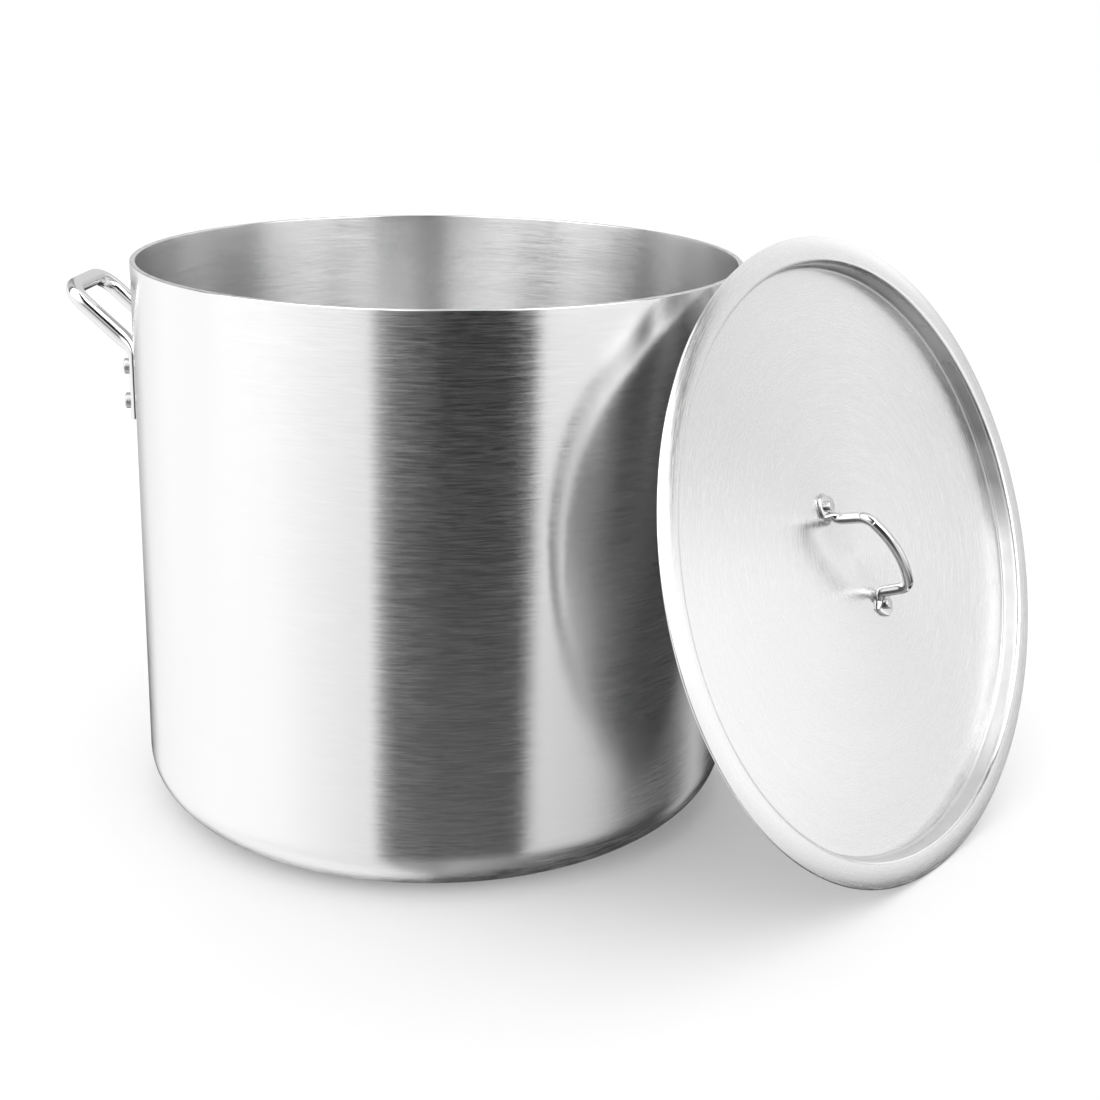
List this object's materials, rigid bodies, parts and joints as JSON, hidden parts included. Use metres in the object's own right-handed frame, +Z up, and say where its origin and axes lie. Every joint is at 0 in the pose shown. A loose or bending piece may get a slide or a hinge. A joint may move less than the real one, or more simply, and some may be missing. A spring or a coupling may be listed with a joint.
{
  "type": "stock pot",
  "caption": "Tall round aluminium stock pot with riveted rod handles at its sides, and its flanged lid leaning against one handle",
  "frame": {"origin": "middle of the pot's flat base, on the surface that it stands on", "axes": "+Z up along the pot's axis; +X from the pot's axis to the right handle, the one that the lid leans on; +Y away from the side that the lid faces"},
  "size_m": [0.8454, 0.5722, 0.4922],
  "materials": {
    "pot_shell": "brushed round the wall, satin",
    "side_handles": "polished",
    "wall_rivets": "bright satin",
    "lid_sheet": "spun in fine rings, satin",
    "lid_handle": "plated, mirror bright",
    "lid_rivets": "bright satin"
  },
  "bodies": {
    "pot": {"pot_body": "pot_shell", "left_handle": "side_handles", "right_handle": "side_handles", "left_handle_rivet_1": "wall_rivets", "left_handle_rivet_2": "wall_rivets", "left_handle_rivet_3": "wall_rivets", "left_handle_rivet_4": "wall_rivets", "right_handle_rivet_1": "wall_rivets", "right_handle_rivet_2": "wall_rivets", "right_handle_rivet_3": "wall_rivets", "right_handle_rivet_4": "wall_rivets"},
    "lid": {"lid_disc": "lid_sheet", "lid_handle": "lid_handle", "lid_rivet_1": "lid_rivets", "lid_rivet_2": "lid_rivets"}
  },
  "joints": [
    {"name": "lid_lift", "type": "slide", "parent": "pot", "child": "lid", "axis": [0, 0, 1], "range_m": [0, 0.5]}
  ]
}
